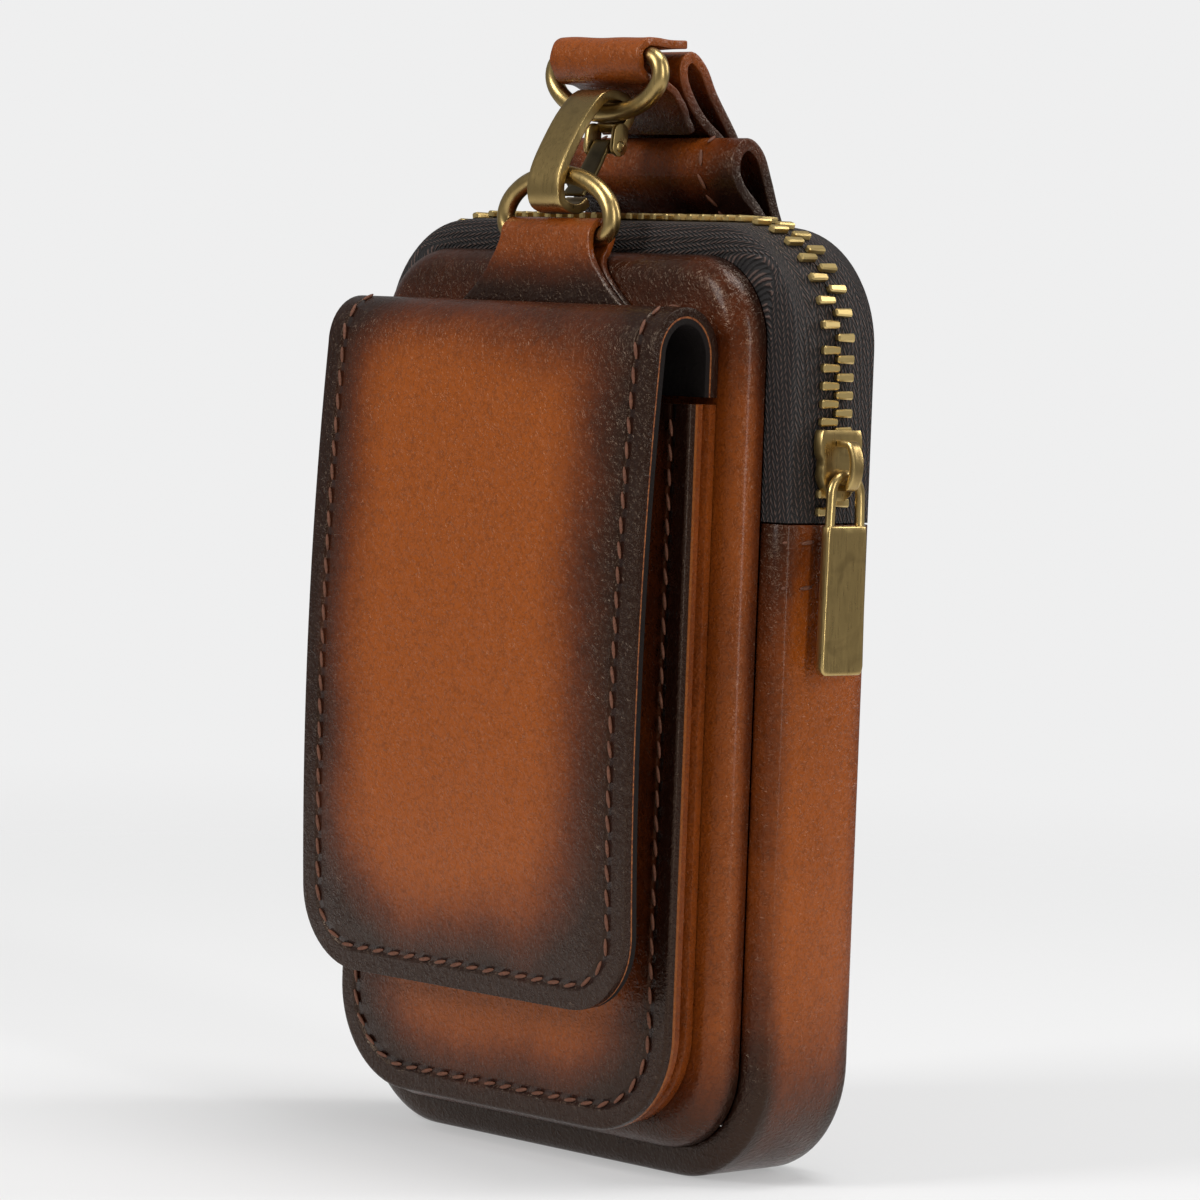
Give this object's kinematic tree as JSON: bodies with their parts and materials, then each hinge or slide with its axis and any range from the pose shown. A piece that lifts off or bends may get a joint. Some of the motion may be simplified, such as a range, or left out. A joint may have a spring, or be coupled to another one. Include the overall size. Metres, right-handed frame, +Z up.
{
  "type": "belt bag",
  "caption": "Small upright leather belt bag with a zipped compartment, a flap pocket on the front, a ring and hook hanger at the top and a belt loop on the back.",
  "frame": {"origin": "centre of the flat base on which the bag stands, on its symmetry plane and halfway between its front and back seams", "axes": "+X to the right of the bag seen from its front (the zipper slider's side), +Y to its back, +Z up"},
  "size_m": [0.1146, 0.0649, 0.197],
  "materials": {
    "leather": "hand-burnished cognac leather, semi-gloss, darker at the edges",
    "leather_dark": "dark brown leather",
    "lining": "dark suede lining",
    "tape": "woven dark brown zipper tape",
    "brass": "antique brass, brushed, brighter at the edges"
  },
  "bodies": {
    "bag": {"front_panel": "leather", "back_panel": "leather", "gusset": "leather", "zipper_tape_front": "tape", "zipper_tape_back": "tape", "zipper_teeth_front": "brass", "zipper_teeth_back": "brass", "zipper_slider": "brass", "pocket_front": "leather", "pocket_gusset": "leather_dark", "pocket_flap": "leather", "flap_lining": "lining", "ring_tab": "leather", "lower_ring": "brass", "upper_ring": "brass", "hook": "brass", "belt_loop": "leather", "hanger_loop": "leather", "hanger_keeper": "leather"},
    "pull": {"zipper_pull": "brass"},
    "gate": {"hook_gate": "brass"}
  },
  "joints": [
    {"name": "pull_swing", "type": "hinge", "parent": "bag", "child": "pull", "pos_m": [0.0572, -0.0006, 0.12265], "axis": [0, -1, 0], "range_deg": [-3, 150]},
    {"name": "gate_swing", "type": "hinge", "parent": "bag", "child": "gate", "pos_m": [0, -0.00615, 0.1778], "axis": [-1, 0, 0], "range_deg": [0, 12], "stiffness_Nm_per_rad": 0.01, "springref_deg": -11.46}
  ]
}
